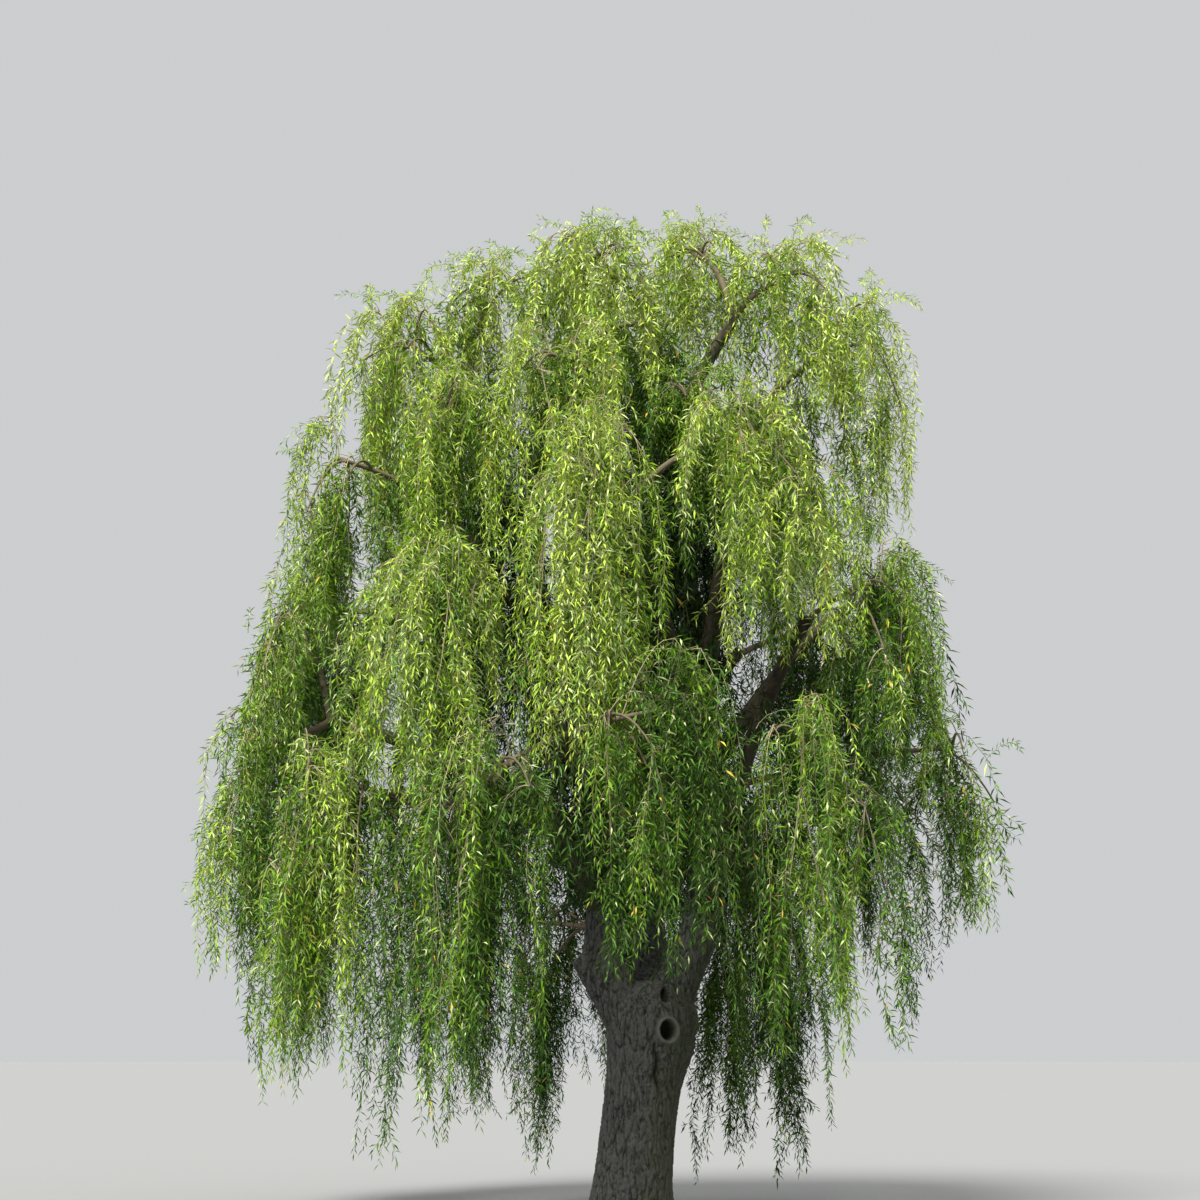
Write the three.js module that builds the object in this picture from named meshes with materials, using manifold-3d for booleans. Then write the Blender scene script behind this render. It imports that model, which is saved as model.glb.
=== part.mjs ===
// A weeping willow, in millimetres, +Z up, with its origin at the middle of the flat cut under its trunk.
// +X is to the right and -Y is the side it is usually seen from.
// A leaning trunk forks into three limbs. Boughs leave the limbs and end where they enter the crown, which is
// made of separate masses of hanging foliage, in tiers round the hollow space under them.
import * as THREE from "three";
import { mergeVertices } from "three/addons/utils/BufferGeometryUtils.js";
import Module from "manifold-3d";

const wasm = await Module();
wasm.setup();
const { Manifold, Mesh: SolidMesh } = wasm;

// ---------------------------------------------------------------- driving sizes
const TREE_HEIGHT = 9800;
const TRUNK_RADIUS = 335; // at chest height
const FORK_HEIGHT = 2150;
const ROOT_FLARE = 0.34; // how much wider the trunk is at the ground, as a share of its radius
const ROOT_LOBES = 5;
const CROWN_AXIS_X = -250; // the crown stands a little to the left of the trunk's foot
const SEAM_GAP = 3; // between pieces of wood
const LEAF_GAP = 15; // between masses, and between wood and masses

const TRUNK_SIDES = 16;
const TRUNK_RINGS = 11;
const LIMB_SIDES = 8;
const LIMB_RINGS = 11;
const BOUGH_SIDES = 6;
const BOUGH_RINGS = 5;
const MASS_SIDES = 10;
const MASS_RINGS = 7;

// A mass's outline: the dome takes the first of its rings, and the hem is the ring where the side turns under.
const DOME_SHARE = 3 / MASS_RINGS;
const HEM_SHARE = 5 / MASS_RINGS;
const DOME_DROP = 0.2; // of the mass's height
const DOME_TILT = 0.4; // how unevenly the dome drops, as a share of that
const HEM_WIDTH = 0.86; // of the mass's greatest width
const UNDERSIDE_RISE = 0.16;
const HEM_RAGGED = 0.13;
const LOBE_DEPTH = 0.16;
const LEAST_BEND_RADIUS = 1600; // how tightly a mass near the middle bends round the crown

const BARK = new THREE.Color(0.24, 0.22, 0.19);
const BOUGH_BARK = new THREE.Color(0.3, 0.26, 0.2);
// Foliage is brightest at the top of the crown and deepest in its skirt.
const LEAF_TIERS = [
  { above: 7000, color: new THREE.Color(0.42, 0.5, 0.17) },
  { above: 5500, color: new THREE.Color(0.34, 0.44, 0.16) },
  { above: 0, color: new THREE.Color(0.26, 0.37, 0.14) },
];

// ---------------------------------------------------------------- the tree's plan
// The trunk's middle and half-width at a few heights. It leans to +X and swells where the limbs leave it.
const TRUNK_STATIONS = [
  { z: 0, x: 0, radius: 345 },
  { z: 450, x: 50, radius: 338 },
  { z: 1000, x: 112, radius: TRUNK_RADIUS },
  { z: 1400, x: 180, radius: 362 },
  { z: 1750, x: 225, radius: 420 },
  { z: 2000, x: 240, radius: 400 },
  { z: FORK_HEIGHT, x: 240, radius: 290 },
];

// Each limb is a smooth curve through its points, tapering from one radius to the other.
const LIMBS = {
  limb_right: {
    radii: [205, 60],
    through: [
      [380, 0, 1800],
      [625, 20, 2420],
      [730, 60, 3050],
      [760, 100, 4100],
      [640, 120, 5400],
      [480, 90, 6600],
      [340, 0, 7700],
      [220, -120, 8700],
    ],
  },
  limb_left: {
    radii: [180, 50],
    through: [
      [60, -20, 1780],
      [-260, -50, 2300],
      [-215, -80, 2950],
      [-300, -60, 3800],
      [-640, 0, 5100],
      [-1050, 40, 6400],
      [-1500, 40, 7500],
      [-1850, 0, 8400],
    ],
  },
  limb_back: {
    radii: [165, 45],
    through: [
      [200, 140, 1850],
      [230, 560, 2650],
      [160, 880, 3900],
      [60, 1020, 5300],
      [0, 1120, 6700],
      [-60, 1250, 8300],
    ],
  },
};

// Each mass of foliage: where its crest is in plan, its half-width across (round the crown) and half-depth
// (in and out), the heights of its crest and hem, and how far its hem swings out from under its crest.
const MASSES = [
  // the top of the crown
  { name: "top_middle", x: -270, y: -350, across: 720, deep: 740, crest: 9400, hem: 7550, swing: 60 },
  { name: "top_left", x: -1280, y: 180, across: 580, deep: 560, crest: 9330, hem: 7500, swing: 120 },
  { name: "top_peak", x: 700, y: 520, across: 520, deep: 520, crest: TREE_HEIGHT, hem: 7900, swing: 60 },
  { name: "top_right", x: 1560, y: -180, across: 740, deep: 640, crest: 9330, hem: 7250, swing: 160 },
  { name: "top_inner", x: 620, y: -650, across: 560, deep: 400, crest: 7900, hem: 5900, swing: 60 },
  { name: "top_back", x: -350, y: 1350, across: 1080, deep: 620, crest: 9250, hem: 7000, swing: 180 },
  // the shoulders
  { name: "right_shoulder", x: 2280, y: 120, across: 760, deep: 420, crest: 8850, hem: 6000, swing: 160 },
  { name: "left_shoulder", x: -2080, y: -60, across: 840, deep: 560, crest: 8750, hem: 6250, swing: 200 },
  { name: "upper_front", x: -650, y: -1400, across: 740, deep: 520, crest: 8150, hem: 5700, swing: 200 },
  { name: "left_front_upper", x: -1700, y: -1250, across: 620, deep: 480, crest: 7750, hem: 5300, swing: 220 },
  { name: "right_front_dome", x: 1200, y: -1650, across: 960, deep: 600, crest: 7450, hem: 4750, swing: 260 },
  { name: "back_right_upper", x: 1450, y: 1550, across: 1040, deep: 580, crest: 8450, hem: 5200, swing: 260 },
  { name: "back_left_upper", x: -1800, y: 1400, across: 1040, deep: 580, crest: 8450, hem: 5150, swing: 260 },
  // the middle of the crown
  { name: "front_cascade", x: -330, y: -2200, across: 700, deep: 560, crest: 7120, hem: 3450, swing: 320 },
  { name: "left_outer_upper", x: -2620, y: -500, across: 700, deep: 440, crest: 7450, hem: 4900, swing: 240 },
  { name: "left_mid", x: -1700, y: -2000, across: 920, deep: 540, crest: 5980, hem: 3250, swing: 260 },
  { name: "left_mid_outer", x: -3030, y: -350, across: 820, deep: 460, crest: 6080, hem: 3700, swing: 260 },
  { name: "left_mid_back", x: -2750, y: 1150, across: 920, deep: 500, crest: 6400, hem: 3600, swing: 240 },
  { name: "right_mid", x: 1980, y: -1250, across: 900, deep: 520, crest: 6150, hem: 3700, swing: 240 },
  { name: "right_outer", x: 2540, y: 250, across: 860, deep: 430, crest: 6300, hem: 3900, swing: 240 },
  { name: "back_left_mid", x: -1800, y: 2300, across: 1040, deep: 520, crest: 6500, hem: 3350, swing: 260 },
  { name: "back_mid", x: 50, y: 2550, across: 1080, deep: 520, crest: 6800, hem: 3450, swing: 280 },
  { name: "back_right_mid", x: 1750, y: 2050, across: 980, deep: 520, crest: 6400, hem: 3400, swing: 260 },
  // the skirt
  { name: "centre_low", x: 150, y: -2700, across: 720, deep: 480, crest: 4850, hem: 1850, swing: 260 },
  { name: "left_centre_low", x: -1270, y: -2650, across: 800, deep: 500, crest: 4350, hem: 700, swing: 240 },
  { name: "left_low_front", x: -2480, y: -1900, across: 820, deep: 520, crest: 4450, hem: 1150, swing: 220 },
  { name: "left_low_outer", x: -3340, y: -350, across: 940, deep: 480, crest: 5050, hem: 2050, swing: 200 },
  { name: "left_low_back", x: -3000, y: 1500, across: 1000, deep: 520, crest: 4750, hem: 1350, swing: 220 },
  { name: "back_left_low", x: -1750, y: 2900, across: 1060, deep: 520, crest: 4550, hem: 850, swing: 260 },
  { name: "back_low", x: 150, y: 3150, across: 1060, deep: 520, crest: 4700, hem: 1050, swing: 240 },
  { name: "back_right_low", x: 1450, y: 2450, across: 960, deep: 500, crest: 4500, hem: 900, swing: 220 },
  { name: "right_low_back", x: 2380, y: 1250, across: 860, deep: 440, crest: 4800, hem: 2150, swing: 140 },
  { name: "right_low_outer", x: 2950, y: -330, across: 760, deep: 420, crest: 4700, hem: 2400, swing: 180 },
  { name: "right_low_front", x: 1650, y: -2150, across: 920, deep: 520, crest: 4550, hem: 1250, swing: 180 },
  // hanging inside the skirt, close to the trunk
  { name: "inner_right", x: 1300, y: -500, across: 520, deep: 330, crest: 3650, hem: 420, swing: 60 },
  { name: "inner_left", x: -780, y: 1700, across: 470, deep: 330, crest: 3350, hem: 380, swing: 60 },
  { name: "inner_back", x: 950, y: 1750, across: 450, deep: 330, crest: 3150, hem: 320, swing: 60 },
];

// Each bough: the limb it leaves, how far along that limb, its radius there, and the mass it carries.
const BOUGHS = [
  { mass: "top_right", limb: "limb_right", along: 0.8, radius: 75 },
  { mass: "right_shoulder", limb: "limb_right", along: 0.66, radius: 80 },
  { mass: "right_front_dome", limb: "limb_right", along: 0.5, radius: 95 },
  { mass: "front_cascade", limb: "limb_right", along: 0.36, radius: 105 },
  { mass: "right_outer", limb: "limb_right", along: 0.42, radius: 85 },
  { mass: "right_mid", limb: "limb_right", along: 0.27, radius: 90 },
  { mass: "right_low_front", limb: "limb_right", along: 0.2, radius: 75 },
  { mass: "centre_low", limb: "limb_left", along: 0.3, radius: 70 },
  { mass: "upper_front", limb: "limb_left", along: 0.66, radius: 80 },
  { mass: "left_mid", limb: "limb_left", along: 0.42, radius: 90 },
  { mass: "left_outer_upper", limb: "limb_left", along: 0.56, radius: 85 },
  { mass: "left_low_outer", limb: "limb_left", along: 0.36, radius: 90 },
  { mass: "left_centre_low", limb: "limb_left", along: 0.24, radius: 75 },
  { mass: "left_mid_back", limb: "limb_back", along: 0.5, radius: 80 },
  { mass: "back_left_low", limb: "limb_back", along: 0.26, radius: 80 },
  { mass: "back_mid", limb: "limb_back", along: 0.44, radius: 85 },
  { mass: "back_right_mid", limb: "limb_back", along: 0.36, radius: 80 },
];
const BOUGH_TIP = 0.45; // a bough's radius at its tip, as a share of that at its foot
const BOUGH_DEPTH = 500; // how far below a mass's crest its bough is aimed
const BOUGH_RISE = 0.55; // how much of its climb a bough makes in its first third

// ---------------------------------------------------------------- solids
/** A closed three.js geometry as a manifold-3d solid. */
function solidOf(geometry) {
  const bare = geometry.clone();
  bare.deleteAttribute("normal");
  bare.deleteAttribute("uv");
  const merged = mergeVertices(bare, 0.01);
  return new Manifold(
    new SolidMesh({
      numProp: 3,
      vertProperties: merged.attributes.position.array,
      triVerts: new Uint32Array(merged.index.array),
    }),
  );
}

/** A solid less its neighbours, keeping only the piece that `rank` puts first. */
function cutBy(solid, neighbours, rank) {
  const rest = neighbours.reduce((left, other) => left.subtract(other), solid);
  return rest.decompose().sort((a, b) => rank(a) - rank(b))[0];
}

const byVolume = (piece) => -piece.volume();

/** Ranks pieces by how near they come to a point, so that a cut bough keeps its foot. */
const byNearness = (point) => (piece) => {
  const { vertProperties: at, numProp } = piece.getMesh();
  let nearest = Infinity;
  for (let i = 0; i < at.length; i += numProp)
    nearest = Math.min(nearest, Math.hypot(at[i] - point.x, at[i + 1] - point.y, at[i + 2] - point.z));
  return nearest;
};

/** A named mesh from a solid, with its geometry measured from `place` and the mesh placed there. */
function meshOf(name, solid, place, material) {
  const { vertProperties, triVerts, numProp } = solid.getMesh();
  const points = new Float32Array((vertProperties.length / numProp) * 3);
  for (let i = 0; i < points.length / 3; i += 1)
    points.set(vertProperties.subarray(i * numProp, i * numProp + 3), i * 3);
  const geometry = new THREE.BufferGeometry()
    .setAttribute("position", new THREE.BufferAttribute(points, 3))
    .setIndex(new THREE.BufferAttribute(triVerts, 1));
  geometry.translate(-place.x, -place.y, -place.z);
  geometry.computeVertexNormals();
  const mesh = new THREE.Mesh(geometry, material);
  mesh.name = name;
  mesh.position.copy(place);
  return mesh;
}

/** A tube with closed ends whose middle follows `centre(t)` and whose radius is `radius(t, angle)`. */
function tube(centre, radius, sides, rings, level = false) {
  const shape = new THREE.CylinderGeometry(1, 1, 1, sides, rings);
  const at = shape.attributes.position;
  for (let i = 0; i < at.count; i += 1) {
    const t = at.getY(i) + 0.5;
    const angle = Math.atan2(at.getZ(i), at.getX(i));
    const onRim = Math.hypot(at.getX(i), at.getZ(i)) > 0.5 ? 1 : 0;
    const ahead = level ? new THREE.Vector3(0, 0, 1) : tangentOf(centre, t);
    const side = new THREE.Vector3(0, 1, 0).cross(ahead).normalize();
    const up = ahead.clone().cross(side);
    const reach = onRim * radius(t, angle);
    const place = centre(t)
      .addScaledVector(side, reach * Math.cos(angle))
      .addScaledVector(up, -reach * Math.sin(angle));
    at.setXYZ(i, place.x, place.y, place.z);
  }
  return solidOf(shape);
}

function tangentOf(centre, t) {
  const step = 0.01;
  const ahead = centre(Math.min(1, t + step));
  return ahead.sub(centre(Math.max(0, t - step))).normalize();
}

const mix = THREE.MathUtils.lerp;
const smooth = THREE.MathUtils.smoothstep;

// ---------------------------------------------------------------- wood
/** The trunk: its stations joined smoothly, with lobes of root flare that die away with height. */
function trunk(grow = 0) {
  const line = new THREE.CatmullRomCurve3(
    TRUNK_STATIONS.map(({ x, z, radius }) => new THREE.Vector3(x, radius, z)),
  );
  const centre = (t) => {
    const { x, z } = line.getPoint(t);
    return new THREE.Vector3(x, 0, z);
  };
  const radius = (t, angle) => {
    const { y: plain, z } = line.getPoint(t);
    const flare = ROOT_FLARE * Math.exp(-z / 220);
    const lobe = 0.65 + 0.35 * Math.sin(ROOT_LOBES * angle + 0.7);
    return plain * (1 + flare * lobe) + grow;
  };
  return tube(centre, radius, TRUNK_SIDES, TRUNK_RINGS, true);
}

/** A limb along a smooth curve through its points. */
function limb({ radii, through }, grow = 0) {
  const line = new THREE.CatmullRomCurve3(through.map((p) => new THREE.Vector3(...p)));
  const radius = (t) => mix(radii[0], radii[1], t ** 0.8) + grow;
  return tube((t) => line.getPoint(t), radius, LIMB_SIDES, LIMB_RINGS);
}

/** The curve of a bough: up and out from its limb, then over into the mass it carries. */
function boughLine({ mass, limb: name, along }) {
  const parent = LIMBS[name].through.map((p) => new THREE.Vector3(...p));
  const foot = new THREE.CatmullRomCurve3(parent).getPoint(along);
  const { x, y, crest } = MASSES.find((m) => m.name === mass);
  const tip = new THREE.Vector3(x, y, crest - BOUGH_DEPTH);
  const third = new THREE.Vector3().lerpVectors(foot, tip, 0.33);
  third.z = mix(foot.z, tip.z, BOUGH_RISE);
  const twoThirds = new THREE.Vector3().lerpVectors(foot, tip, 0.72);
  twoThirds.z = mix(foot.z, tip.z, 1) + 60;
  return new THREE.CubicBezierCurve3(foot, third, twoThirds, tip);
}

function bough(plan, grow = 0) {
  const line = boughLine(plan);
  const radius = (t) => mix(plan.radius, plan.radius * BOUGH_TIP, t) + grow;
  return tube((t) => line.getPoint(t), radius, BOUGH_SIDES, BOUGH_RINGS);
}

// ---------------------------------------------------------------- foliage
/** Width and height, as shares, at a share of the way from a mass's crest, over its hem, to its underside. */
function profile(share, drop) {
  if (share <= DOME_SHARE) {
    const turn = (share / DOME_SHARE) * (Math.PI / 2);
    return { width: Math.sin(turn) ** 0.8, height: 1 - drop * (1 - Math.cos(turn)) };
  }
  if (share <= HEM_SHARE) {
    const down = (share - DOME_SHARE) / (HEM_SHARE - DOME_SHARE);
    return { width: mix(1, HEM_WIDTH, down ** 2), height: (1 - drop) * (1 - down) };
  }
  const under = (share - HEM_SHARE) / (1 - HEM_SHARE);
  return { width: HEM_WIDTH * (1 - under), height: UNDERSIDE_RISE * under };
}

/** One mass: a dome whose sides hang to a ragged hem, hollow underneath, bent round the crown's axis. */
function foliage({ x, y, across, deep, crest, hem, swing }, phase, grow = 0) {
  const outward = Math.atan2(y, x - CROWN_AXIS_X);
  const distance = Math.hypot(x - CROWN_AXIS_X, y);
  const bend = distance + LEAST_BEND_RADIUS;
  const hub = new THREE.Vector2(x - bend * Math.cos(outward), y - bend * Math.sin(outward));
  const low = hem - 3 * grow; // the sloping underside needs more than the sides, to stay clear by as much
  const tall = crest + grow - low;
  const shape = new THREE.SphereGeometry(1, MASS_SIDES, MASS_RINGS);
  const at = shape.attributes.position;
  for (let i = 0; i < at.count; i += 1) {
    const share = Math.acos(THREE.MathUtils.clamp(at.getY(i), -1, 1)) / Math.PI;
    const angle = Math.atan2(at.getZ(i), at.getX(i));
    const { width, height } = profile(share, DOME_DROP * (1 + DOME_TILT * Math.sin(angle + 3.1 * phase)));
    const lobes = 0.6 * Math.sin(3 * angle + phase) + 0.4 * Math.sin(5 * angle + 2.3 * phase);
    const wide = width * (1 + LOBE_DEPTH * lobes * (1.4 - height));
    const ragged = HEM_RAGGED * (0.5 + 0.5 * Math.sin(4 * angle + 1.7 * phase)) * (1 - height) ** 3;
    const turned = ((across + grow) * wide * Math.cos(angle)) / bend;
    const out = bend + (deep + grow) * wide * Math.sin(angle) + swing * smooth(1 - height, 0, 0.7);
    at.setXYZ(
      i,
      hub.x + out * Math.cos(outward + turned),
      hub.y + out * Math.sin(outward + turned),
      low + tall * (height + ragged * width),
    );
  }
  return solidOf(shape);
}

// ---------------------------------------------------------------- assembly
const overlapping = (solid, pool) => {
  const a = solid.boundingBox();
  return pool.filter((other) => {
    const b = other.boundingBox();
    return [0, 1, 2].every((k) => a.min[k] <= b.max[k] && b.min[k] <= a.max[k]);
  });
};

const barkMaterial = new THREE.MeshStandardMaterial({ color: BARK, roughness: 0.95, metalness: 0 });
const boughMaterial = new THREE.MeshStandardMaterial({ color: BOUGH_BARK, roughness: 0.9, metalness: 0 });
const leafTiers = LEAF_TIERS.map(({ above, color }) => ({
  above,
  material: new THREE.MeshStandardMaterial({ color, roughness: 0.6, metalness: 0 }),
}));

const tree = new THREE.Group();
const wood = new THREE.Group();
const crown = new THREE.Group();
tree.add(wood, crown);

wood.add(meshOf("trunk", trunk(), new THREE.Vector3(0, 0, 0), barkMaterial));

// The masses come next, each cut clear of the trunk and of the masses before it.
const roomForLeaves = [trunk(LEAF_GAP)];
MASSES.forEach((plan, i) => {
  const phase = 2.4 * i + 0.5;
  const whole = foliage(plan, phase);
  const solid = cutBy(whole, overlapping(whole, roomForLeaves), byVolume);
  roomForLeaves.push(foliage(plan, phase, LEAF_GAP));
  const place = new THREE.Vector3(plan.x, plan.y, plan.hem);
  const { material } = leafTiers.find(({ above }) => plan.crest > above);
  crown.add(meshOf("foliage_" + plan.name, solid, place, material));
});

// The wood ends where it enters a mass, and a bough starts at its limb's surface.
const roomForWood = [trunk(SEAM_GAP), ...roomForLeaves.slice(1)];
for (const [name, plan] of Object.entries(LIMBS)) {
  const whole = limb(plan);
  const aboveFork = new THREE.Vector3(...plan.through[1]);
  const solid = cutBy(whole, overlapping(whole, roomForWood), byNearness(aboveFork));
  roomForWood.push(limb(plan, SEAM_GAP));
  wood.add(meshOf(name, solid, aboveFork, barkMaterial));
}
for (const plan of BOUGHS) {
  const whole = bough(plan);
  const foot = boughLine(plan).getPoint(0);
  const solid = cutBy(whole, overlapping(whole, roomForWood), byNearness(foot));
  roomForWood.push(bough(plan, SEAM_GAP));
  wood.add(meshOf("bough_" + plan.mass, solid, foot, boughMaterial));
}

export default tree;
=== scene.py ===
"""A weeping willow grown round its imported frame: barked wood and a crown of hanging, narrow-leaved shoots.

All sizes are in metres, in the frame's own axes: +Z is up and -Y is towards the camera. The trunk, limbs
and boughs follow the frame's solids. Each mass of foliage is replaced by branches that grow on from that
wood, fan out under the mass's upper surface and end in shoots that arch over and hang to its hem.
"""

import functools
import math

import bpy
import numpy as np
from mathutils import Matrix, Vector, noise
from mathutils.bvhtree import BVHTree


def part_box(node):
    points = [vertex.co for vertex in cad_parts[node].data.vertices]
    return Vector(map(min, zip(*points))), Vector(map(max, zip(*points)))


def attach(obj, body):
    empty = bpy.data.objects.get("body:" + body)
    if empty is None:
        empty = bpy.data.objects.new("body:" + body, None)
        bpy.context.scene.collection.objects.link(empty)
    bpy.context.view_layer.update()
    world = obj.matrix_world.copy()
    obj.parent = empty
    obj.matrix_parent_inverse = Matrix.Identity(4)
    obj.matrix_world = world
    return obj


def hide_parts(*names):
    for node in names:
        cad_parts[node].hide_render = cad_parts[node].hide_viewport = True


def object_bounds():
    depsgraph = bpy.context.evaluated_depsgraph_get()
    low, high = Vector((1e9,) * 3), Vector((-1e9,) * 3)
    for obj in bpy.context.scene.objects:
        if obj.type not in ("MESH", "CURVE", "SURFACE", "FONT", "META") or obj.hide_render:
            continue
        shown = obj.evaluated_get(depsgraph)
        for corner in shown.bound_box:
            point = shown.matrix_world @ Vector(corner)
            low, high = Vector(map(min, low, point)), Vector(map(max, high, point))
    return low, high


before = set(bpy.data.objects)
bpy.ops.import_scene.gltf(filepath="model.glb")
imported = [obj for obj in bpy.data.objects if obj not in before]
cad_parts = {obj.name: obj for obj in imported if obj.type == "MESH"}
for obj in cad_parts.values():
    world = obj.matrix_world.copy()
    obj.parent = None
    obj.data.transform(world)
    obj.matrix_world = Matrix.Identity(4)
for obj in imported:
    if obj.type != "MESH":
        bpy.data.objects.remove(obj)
cad_box = [list(corner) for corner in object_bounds()]

SEED = 417
MOST_TRIANGLES = 190_000  # in one joined piece

# ---- camera, light and floor
CAMERA_PLACE = (-0.25, -20.0, 1.6)
CAMERA_TILT = math.radians(11.6)
CAMERA_LENS_MM = 64.5
VIEW_END = 500
LIGHT_COLOUR = (1.0, 0.975, 0.93)
SUNS = {  # for each light: where it comes from, its strength, and how wide it is in the sky
    "key": ((-0.42, -0.80, 1.25), 6.2, math.radians(22)),
    "overhead": ((0, 0, 1), 2.0, math.radians(110)),
}
BACKDROP = (0.86, 0.88, 0.89)
BACKDROP_STRENGTH = 0.70
FLOOR_COLOURS = {"floor_grey": (0.22, 0.225, 0.225)}
FLOOR_RADIUS = 160.0
FLOOR_SIDES = 96

# ---- colours
# Colours of sprays of leaves, lit and shaded copies of one green: painted shade for the deepest inside
# the crown, up to painted sunlight for the sunniest on its crests.
LIT_AND_SHADED_SPRAY_COLOURS = {
    "leaf_deep": (0.013, 0.039, 0.003),
    "leaf_shade": (0.041, 0.101, 0.007),
    "leaf_green": (0.091, 0.195, 0.012),
    "leaf_mid": (0.170, 0.310, 0.020),
    "leaf_light": (0.285, 0.435, 0.034),
    "leaf_sunny": (0.425, 0.560, 0.075),
}
# The cooler green that some sprays have instead, in a painted-shade copy for the darker half of those and
# a painted-light copy for the lighter half.
COOL_COLOURS = {"leaf_cool": (0.072, 0.168, 0.024), "leaf_cool_light": (0.185, 0.325, 0.065)}
COOL_SHARE = 0.48  # of the sprays at the ground's height, falling to none at the top
# Colours of single leaves among them: pale undersides, partly painted highlights, and a few that have turned.
ODD_COLOURS = {"leaf_underside": (0.450, 0.540, 0.230), "leaf_turned": (0.520, 0.400, 0.060)}
UNDERSIDE_AND_HIGHLIGHT_SHARE = 0.28  # in full sun, and less in the shade; in the sun they are partly painted highlights
TURNED_SHARE = 0.006
LEAF_COLOURS = {**LIT_AND_SHADED_SPRAY_COLOURS, **COOL_COLOURS, **ODD_COLOURS}
TWIG_COLOURS = {
    "twig_shade": (0.070, 0.075, 0.028),
    "twig_green": (0.230, 0.230, 0.080),
    "twig_tan": (0.380, 0.310, 0.185),
}
SHADED_TWIG_SUN = 0.42  # shoots with less painted light than this have twigs in painted shade
TAN_TWIG_SHARE = 0.45  # of the other shoots
BRANCH_COLOURS = {"branch_brown": (0.130, 0.105, 0.065), "branch_olive": (0.270, 0.240, 0.145)}
BARKS = {  # for each slot: colours of its furrows (partly painted shade), ridges and moss, and how fine its grain is
    "bark": ((0.009, 0.009, 0.009), (0.158, 0.157, 0.147), (0.060, 0.075, 0.022), 60),
    "bough_bark": ((0.016, 0.013, 0.009), (0.090, 0.076, 0.050), (0.06, 0.07, 0.03), 70),
}
# How much painted light or painted shade a shoot's leaves get from its place in the crown: the level at
# the middle, and how much brighter they are further out, higher up, to the right and at the back.
MIDDLE_SUN = 0.40
OUTER_SUN = 0.75
UPPER_SUN = 0.38
RIGHT_SUN = -0.06
BACK_SUN = -0.05
SUN_SPREAD = 0.06
CREST_LIGHT = 0.26  # how much painted light brightens shoots that start at a mass's crest over those at its foot
FACE_LIGHT = 0.16  # how much painted light brightens shoots on a mass's outer face over those at its middle
TIP_SHADE = 0.12  # how much darker, in painted shade, a shoot's leaves are at its tip than at its foot

# ---- trunk, limbs and boughs
TRUNK_VOXEL = 0.0115
TRUNK_SOFTENING = 28
TRUNK_FURROWS = (0.024, 0.038, 0.22)  # depth, width and length
TRUNK_LOBES = 6  # the finest waves round the frame's trunk that are kept
CROTCH_DEPTH = 0.42  # the trunk narrows over this height, between its limbs
LIMB_ROOT = (0.05, 0, 0.62)  # how far left of and below the trunk's top the limbs' centrelines start
LIMB_STUB = 1.75  # how much of each limb, in metres from there, is blended into the trunk's mesh
LIMB_LAP = 0.12
FORK_SWELL = 0.55
BOUGH_SWELL = 1.3
LIMB_STEP = 0.03
FURROW_STRETCH = 6  # how much longer than wide the furrows of limbs and boughs are
LIMB_KINDS = {  # the slot, the tube's sides, and its furrows' depth and width
    "limb": ("bark", 40, 0.012, 0.045),
    "bough": ("bough_bark", 16, 0.004, 0.04),
}

# Marks on the trunk's front, at (x, z): a lost branch's scar with a hole in it, a smaller cavity above, the
# seam where the right-hand stem joins, and the burl beside it, with folds across it.
SCAR = (0.35, 1.70)
SCAR_HOLE = (0.052, 0.080)
SCAR_HOLE_DEPTH = 0.15
SCAR_RIM = (0.100, 0.122)
SCAR_RIM_HEIGHT = 0.045
CAVITY = (0.34, 2.01)
CAVITY_HOLE = (0.036, 0.062)
CAVITY_DEPTH = 0.09
SEAM_TOP = (0.235, 1.62)
SEAM_FOOT = (0.275, 1.02)
SEAM_WIDTH = 0.019
SEAM_DEPTH = 0.045
BURL = (0.47, 1.50)
BURL_HALF = (0.14, 0.16)
BURL_HEIGHT = 0.035
FOLD_HEIGHT = 0.006
# A stump of a lost bough, low on the left: its foot and its end, and the radius at each.
STUMP = ((-0.02, -0.06, 1.86), (-0.43, -0.10, 2.36))
STUMP_RADII = (0.22, 0.095)

# ---- branches in a mass
COLUMN_TRIES = 200
LEADER_KNOTS = 12
LEADER_RADII = (0.04, 0.02)  # the most at its foot, and at its tip
FANS = 5
FAN_PULL = 0.88  # draws a fan's branchlets together, which leaves gaps between fans
FAN_KNOTS = 9
FAN_RADII = (0.017, 0.008)
BRANCHLETS_PER_AREA = 12.5  # for each square metre of a mass's plan
LOWER_TARGETS = 0.50  # the share of branchlets that reach for the lower part of their mass
BRANCHLET_KNOTS = 6
BRANCHLET_RADII = (0.0062, 0.0040)
THICK_BRANCH = 0.01  # the least radius of branches with five sides, in the first branch colour
SWING = 0.25  # how far out shoots swing past their branchlets' tips

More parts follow.
